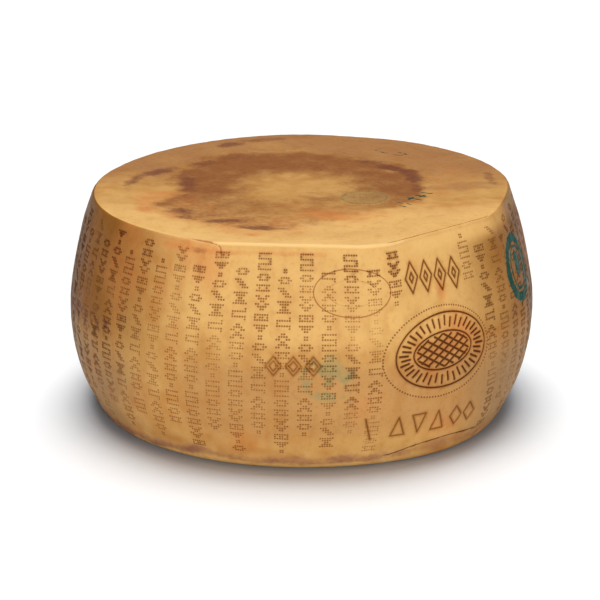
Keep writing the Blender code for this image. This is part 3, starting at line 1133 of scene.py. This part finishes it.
# Relief, in metres
SOFT_RELIEF = ((0.00055, 0.05, 1), (0.00022, 0.018, 2))
FINE_RELIEF = ((0.00008, 0.006, 3),)
CALM_RIM = (TOP_END - 0.004, SIDE_START + 0.004, 0.02)
BURN_DEPTH = 0.001
DOT_DEPTH = 0.00045
DISC_DOT_DEPTH = 0.0003
CREASE_DEPTH = 0.0008
SEAM_DEPTH = 0.0004
BEVEL_DEPTH = 0.0022
BEVEL_FALL = 0.014
BEVEL_START = 0.004
BEVEL_RIGHT = (24.0, 58.0, 10.0)
BEVEL_FRONT = (-50.0, 30.0, 20.0)
FLAT_FOOT = (0.001, 0.011)
HALO_START = 0.0006
HALO_REACH = 0.0016


def bevel_relief(place):
    """Extra rounding of the pressed panels' upper edge."""
    fall = 1.0 - np.clip((place.length - SIDE_START) / BEVEL_FALL, 0.0, 1.0)
    right, front = band(place.azimuth, *BEVEL_RIGHT), band(place.azimuth, *BEVEL_FRONT)
    start = np.clip((place.length - TOP_END) / BEVEL_START, 0.0, 1.0)
    return BEVEL_DEPTH * fall ** 2 * np.maximum(right, 0.35 * front) * start


def wheel_fields(place, row, col):
    """The relief, and the fields that the material reads."""
    burn, burn_gap = side_strokes(place, BURNS)
    dots = oval_dots(place)[0]
    disc_height, disc_tint, disc_dots, _ = disc_marks(place)
    step_relief, step_groove_and_shadow, _ = step_fields(place)
    seam = side_strokes(place, SEAM, THIN_BLUR)[0]
    red = side_strokes(place, RED_LINES)[0]
    pin, bleed = pin_fields(place, row, col)

    relief = uneven(place.points, SOFT_RELIEF) * (1.0 - 0.75 * band(place.length, *CALM_RIM))
    relief += uneven(place.points, FINE_RELIEF)
    relief -= PIN_DEPTH * pin + BURN_DEPTH * burn + DOT_DEPTH * dots + DISC_DOT_DEPTH * disc_dots
    relief += disc_height + step_relief - CREASE_DEPTH * step_groove_and_shadow - SEAM_DEPTH * seam
    relief -= bevel_relief(place)
    relief *= np.where(place.on_top, 1.0, rise(place.z, *FLAT_FOOT))

    fields = {
        "pin": np.maximum(pin, 0.9 * dots),
        "bleed": bleed,
        # The burn field also carries the painted shadow under the foot's step
        "burn": np.maximum.reduce([burn, 0.9 * step_groove_and_shadow, 0.3 * seam]),
        "halo": np.exp(-np.maximum(burn_gap - HALO_START, 0.0) / HALO_REACH),
        "red": np.maximum.reduce([red, 0.8 * seam, 0.75 * rim_line(place)[0]]),
        # Painted highlight on the upper edge, the rim and the bevel
        "painted_highlight": painted_highlight_field(place),
        "green": green_ink(place)[0],
        "smear": green_smear(place),
        "disc": disc_tint,
        "specks": disc_dots,
    }
    only_side = place.on_side & ~place.on_top
    for stains_and_painted_light, where in ((top_stains(place), place.on_top), (side_stains_and_painted_light(place), only_side)):
        for name, values in stains_and_painted_light.items():
            fields[name] = np.maximum(fields.get(name, 0.0), values * where)
    return relief, fields


UPWARD = np.array([0.0, 0.0, 1.0])


def add_item(name, data):
    """An object in the scene."""
    item = bpy.data.objects.new(name, data)
    bpy.context.scene.collection.objects.link(item)
    return item


def make_wheel():
    """The wheel, and how far it is shifted to stand in the middle of its frame."""
    lattice = build_lattice()
    row, col = np.array(lattice.places).T
    place = Surface(row, col, TOP_END - 0.002, TOP_END + 0.001)
    normal = outward(row, col)
    flat = (row <= 0.0) | (row >= len(RINGS) - 1.0)
    normal[flat] = np.where(place.points[flat, 2:3] > GIRTH_HEIGHT, UPWARD, -UPWARD)
    relief, fields = wheel_fields(place, row, col)
    middle = (place.points.min(axis=0) + place.points.max(axis=0)) / 2
    shift = np.array([-middle[0], -middle[1], 0.0])
    mesh = bpy.data.meshes.new("cheese_rind")
    mesh.from_pydata((place.points + normal * relief[:, None] + shift).tolist(), [], lattice.faces)
    mesh.polygons.foreach_set("use_smooth", np.ones(len(mesh.polygons), bool))
    for name, values in fields.items():
        attribute = mesh.attributes.new(name, "FLOAT", "POINT")
        attribute.data.foreach_set("value", np.clip(values, 0.0, 1.0).astype(np.float32))
    lay_uv(mesh, col, place)
    return add_item("cheese_rind", mesh), shift


# Material


def srgb(red, green, blue):
    """A colour given as it looks on screen, 0 to 255, as the linear values that a shader takes."""
    values = [channel / 255.0 for channel in (red, green, blue)]
    return tuple(v / 12.92 if v <= 0.04045 else ((v + 0.055) / 1.055) ** 2.4 for v in values) + (1.0,)


GOLD = srgb(196, 148, 84)
GOLD_LIGHT = srgb(207, 162, 97)
GOLD_DEEP = srgb(183, 126, 64)
BROWN = srgb(137, 83, 45)
PURPLE = srgb(110, 62, 46)
ORANGE = srgb(207, 129, 70)
OLIVE = srgb(197, 149, 86)
PALE = srgb(227, 180, 110)
# Painted shade: brown on the high flanks, grey on the low flanks and dark at the far sides
FLANK_SHADE = srgb(134, 84, 28)
LOW_FLANK_SHADE = srgb(154, 119, 79)
LIMB_SHADE = srgb(92, 72, 52)
TAN = srgb(158, 109, 68)
FOOT = srgb(148, 96, 78)
# Cream of the painted highlights on the upper edge
HIGHLIGHT_CREAM = srgb(234, 194, 128)
MOTTLE_SHADE = (0.8, 0.7, 0.58, 1.0)
PIN_SHADE = (0.36, 0.22, 0.15, 1.0)
BURN_SHADE = (0.22, 0.15, 0.11, 1.0)
HALO_SHADE = (0.72, 0.56, 0.42, 1.0)
RED_SHADE = (0.52, 0.3, 0.26, 1.0)
GREEN_INK = srgb(0, 68, 56)
SMEAR_GREEN = srgb(138, 138, 92)
DISC_BEIGE = srgb(158, 126, 76)
SPECK_GREEN = srgb(96, 92, 58)

# Layers of the rind from the lowest up, as (field, noise that breaks up its edge, how much of it,
# where the field begins and is full, most, colour, and the kind of mix where it isn't plain)
LAYERS = (
    # pale also paints light low at the foot of the side
    ("pale", "patch", 0.5, 0.05, 1.05, 0.85, PALE),
    ("middle", "fine", 0.7, 0.2, 0.9, 0.6, OLIVE),
    ("tan", "patch", 0.45, 0.05, 1.0, 0.85, TAN),
    # Painted shade on the flanks and at the far sides
    ("painted_flank_shade", "patch", 0.25, 0.0, 1.0, 0.96, FLANK_SHADE),
    ("painted_low_flank_shade", "patch", 0.25, 0.0, 1.0, 0.92, LOW_FLANK_SHADE),
    ("painted_limb_shade", "patch", 0.2, 0.0, 1.0, 0.55, LIMB_SHADE),
    ("orange", "streak", 0.6, 0.1, 1.0, 0.72, ORANGE),
    ("brown", "fine", 0.45, 0.0, 1.05, 0.94, BROWN),
    ("purple", "fine", 0.55, 0.15, 1.0, 0.78, PURPLE),
    ("foot", "fine", 0.45, 0.1, 1.0, 0.9, FOOT),
    ("smear", "fine", 0.6, 0.2, 1.0, 0.6, SMEAR_GREEN),
    ("disc", "fine", 0.5, 0.2, 1.0, 0.5, DISC_BEIGE),
    ("specks", "fine", 0.5, 0.2, 0.6, 0.8, SPECK_GREEN),
)
# Mottling over those, as (noise, where it begins and is full, most)
MOTTLES = (("grain", 0.5, 0.78, 0.32), ("fine", 0.46, 0.74, 0.34), ("streak", 0.5, 0.75, 0.4))
UPPER_LAYERS = (
    # Painted highlight on the upper edge, the rim and the bevel
    ("painted_highlight", "fine", 0.35, 0.15, 1.0, 0.85, HIGHLIGHT_CREAM),
    ("bleed", "fine", 0.3, 0.12, 0.8, 0.75, PIN_SHADE, "MULTIPLY"),
    ("pin", "grain", 0.16, 0.12, 0.62, 0.92, PIN_SHADE, "MULTIPLY"),
    ("red", "fine", 0.6, 0.3, 0.8, 0.85, RED_SHADE, "MULTIPLY"),
    ("halo", "fine", 0.4, 0.1, 1.0, 0.9, HALO_SHADE, "MULTIPLY"),
    # burn darkens the burnt marks and the seam, and paints the shadow under the foot's step
    ("burn", "grain", 0.25, 0.25, 0.75, 0.92, BURN_SHADE, "MULTIPLY"),
    ("green", "fine", 1.1, 0.3, 0.55, 0.96, GREEN_INK),
)
SPECULAR = 0.05
ROUGHNESS = (0.4, 0.58)
BUMP_STRENGTH = 0.25
BUMP_DISTANCE = 0.0006


class Shader:
    """Short calls for a material's node tree."""

    def __init__(self, name):
        self.material = bpy.data.materials.new(name)
        self.material.use_nodes = True
        self.nodes = self.material.node_tree.nodes
        self.links = self.material.node_tree.links
        self.bsdf = self.nodes["Principled BSDF"]

    def node(self, kind, output, inputs, **settings):
        """What a new node gives, from inputs that are numbers, colours or other nodes' outputs."""
        node = self.nodes.new("ShaderNode" + kind)
        for name, value in settings.items():
            setattr(node, name, value)
        for name, source in inputs.items():
            if hasattr(source, "is_linked"):
                self.links.new(source, node.inputs[name])
            else:
                node.inputs[name].default_value = source
        return node.outputs[output]

    def noise(self, size, detail, stretch=(1.0, 1.0, 1.0)):
        """Noise from 0 to 1 with features of about one size, in metres."""
        place = self.node("TexCoord", "Object", {})
        place = self.node("Mapping", "Vector", {"Vector": place, "Scale": stretch})
        return self.node("TexNoise", "Fac", {"Vector": place, "Scale": 1.0 / size, "Detail": detail})

    def math(self, kind, a, b):
        """One sum."""
        return self.node("Math", 0, {0: a, 1: b}, operation=kind)

    def remap(self, source, low, high, out_low=0.0, out_high=1.0):
        """Soft threshold."""
        inputs = {
            "Value": source, "From Min": low, "From Max": high, "To Min": out_low, "To Max": out_high,
        }
        return self.node("MapRange", "Result", inputs, interpolation_type="SMOOTHSTEP")

    def mix(self, factor, a, b, kind="MIX"):
        """Mixes two colours."""
        return self.node("Mix", 2, {"Factor": factor, 6: a, 7: b}, data_type="RGBA", blend_type=kind)

    def broken(self, name, noise, amount, low, high, most):
        """A field whose edge is broken up by noise."""
        shift = self.math("MULTIPLY", self.math("SUBTRACT", noise, 0.5), amount)
        field = self.node("Attribute", "Fac", {}, attribute_name=name)
        return self.remap(self.math("ADD", field, shift), low, high, 0.0, most)

    def layers(self, colour, noises, table):
        """Lays the fields of a table over a colour, one after another."""
        for name, noise, amount, low, high, most, *tint in table:
            field = self.broken(name, noises[noise], amount, low, high, most)
            colour = self.mix(field, colour, *tint)
        return colour


def rind_material():
    """Golden rind with its stains, pin marks, burns and ink."""
    s = Shader("cheese_rind")
    large = s.noise(0.08, 2.0)
    patches = s.noise(0.018, 4.0)
    fine = s.noise(0.0045, 4.0)
    grain = s.noise(0.0011, 3.0)
    streak = s.noise(0.012, 4.0, (1.0, 1.0, 0.3))
    noises = {"patch": patches, "fine": fine, "grain": grain, "streak": streak}

    colour = s.mix(s.remap(large, 0.3, 0.7), GOLD_DEEP, GOLD)
    colour = s.mix(s.remap(patches, 0.34, 0.68, 0.0, 0.7), colour, GOLD_LIGHT)
    colour = s.layers(colour, noises, LAYERS)
    for noise, low, high, most in MOTTLES:
        colour = s.mix(s.remap(noises[noise], low, high, 0.0, most), colour, MOTTLE_SHADE, "MULTIPLY")
    colour = s.layers(colour, noises, UPPER_LAYERS)
    s.links.new(colour, s.bsdf.inputs["Base Color"])

    rough = s.math("ADD", s.math("MULTIPLY", patches, 0.6), s.math("MULTIPLY", fine, 0.4))
    s.links.new(s.remap(rough, 0.35, 0.65, *ROUGHNESS), s.bsdf.inputs["Roughness"])
    s.bsdf.inputs["Specular IOR Level"].default_value = SPECULAR
    height = s.math("ADD", s.math("MULTIPLY", fine, 0.6), s.math("MULTIPLY", grain, 0.4))
    bump = {"Strength": BUMP_STRENGTH, "Distance": BUMP_DISTANCE, "Height": height}
    s.links.new(s.node("Bump", "Normal", bump), s.bsdf.inputs["Normal"])
    return s.material


# Stage

# The floor's colour by distance from the axis: a painted contact shadow, darkest by the wheel's foot,
# and cooler close by to offset light that the rind casts on it
FLOOR_SHADOW_COLOURS = (
    (0.204, (0.42, 0.46, 0.52)), (0.209, (0.54, 0.6, 0.68)), (0.214, (0.69, 0.74, 0.8)),
    (0.222, (0.79, 0.83, 0.88)), (0.24, (0.87, 0.9, 0.925)), (0.262, (0.92, 0.935, 0.95)),
    (0.32, (0.95, 0.95, 0.95)),
)
FLOOR_HALF = 12.0
FLOOR_ROUGHNESS = 0.9


def add_floor():
    """A pale floor, with a painted contact shadow round the wheel's foot."""
    corners = [(x * FLOOR_HALF, y * FLOOR_HALF, 0.0) for x, y in ((-1, -1), (1, -1), (1, 1), (-1, 1))]
    mesh = bpy.data.meshes.new("floor")
    mesh.from_pydata(corners, [], [(0, 1, 2, 3)])
    s = Shader("floor")
    s.bsdf.inputs["Roughness"].default_value = FLOOR_ROUGHNESS
    s.bsdf.inputs["Specular IOR Level"].default_value = 0.0
    distance = s.node("VectorMath", "Value", {0: s.node("TexCoord", "Object", {})}, operation="LENGTH")
    shadow_ramp = s.nodes.new("ShaderNodeValToRGB")
    stops = shadow_ramp.color_ramp.elements
    for number, (place, colour) in enumerate(FLOOR_SHADOW_COLOURS):
        stop = stops[number] if number < 2 else stops.new(place)
        stop.position = place
        stop.color = colour + (1.0,)
    s.links.new(distance, shadow_ramp.inputs["Fac"])
    s.links.new(shadow_ramp.outputs["Color"], s.bsdf.inputs["Base Color"])
    mesh.materials.append(s.material)
    add_item("floor", mesh)


WORLD_STRENGTH = 0.12
LIGHT_DISTANCE = 3.0
# Each sun as (name, irradiance, azimuth, elevation, apparent angle)
SUNS = (
    ("overhead", 2.95, 180.0, 77.0, 45.0),
    ("front", 2.2, 6.0, 10.0, 32.0),
)


def add_lights():
    """Soft studio light: a broad one overhead, a lower one in front, and a faint white surround."""
    world = bpy.data.worlds.new("studio")
    world.use_nodes = True
    background = world.node_tree.nodes["Background"]
    background.inputs["Color"].default_value = (1.0, 1.0, 1.0, 1.0)
    background.inputs["Strength"].default_value = WORLD_STRENGTH
    bpy.context.scene.world = world
    for name, strength, turn, elevation, angle in SUNS:
        light = bpy.data.lights.new(name, "SUN")
        light.energy = strength
        light.angle = math.radians(angle)
        turn, elevation = math.radians(turn), math.radians(elevation)
        flat = math.cos(elevation)
        towards = Vector((math.sin(turn) * flat, -math.cos(turn) * flat, math.sin(elevation)))
        item = add_item(name, light)
        item.rotation_euler = towards.to_track_quat("Z", "Y").to_euler()
        item.location = towards * LIGHT_DISTANCE


# The photograph's camera, fitted to the wheel's outline
CAMERA_PLACE = (-0.0021, -2.4718, 0.9095)
CAMERA_PITCH = 18.133
PIXELS_PER_RADIAN = 2620.5
FRAME_PIXELS = 600.0
SENSOR_WIDTH = 36.0


def add_camera(shift):
    """The photograph's camera."""
    data = bpy.data.cameras.new("camera")
    data.sensor_width = SENSOR_WIDTH
    data.lens = PIXELS_PER_RADIAN / FRAME_PIXELS * SENSOR_WIDTH
    item = add_item("camera", data)
    item.location = Vector(CAMERA_PLACE) + Vector(shift.tolist())
    item.rotation_euler = (math.radians(90.0 - CAMERA_PITCH), 0.0, 0.0)
    bpy.context.scene.camera = item


wheel, wheel_shift = make_wheel()
wheel.data.materials.append(rind_material())
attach(wheel, "root")
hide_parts("cheese_wheel")
add_floor()
add_lights()
add_camera(wheel_shift)
bpy.context.scene.view_settings.view_transform = "Standard"
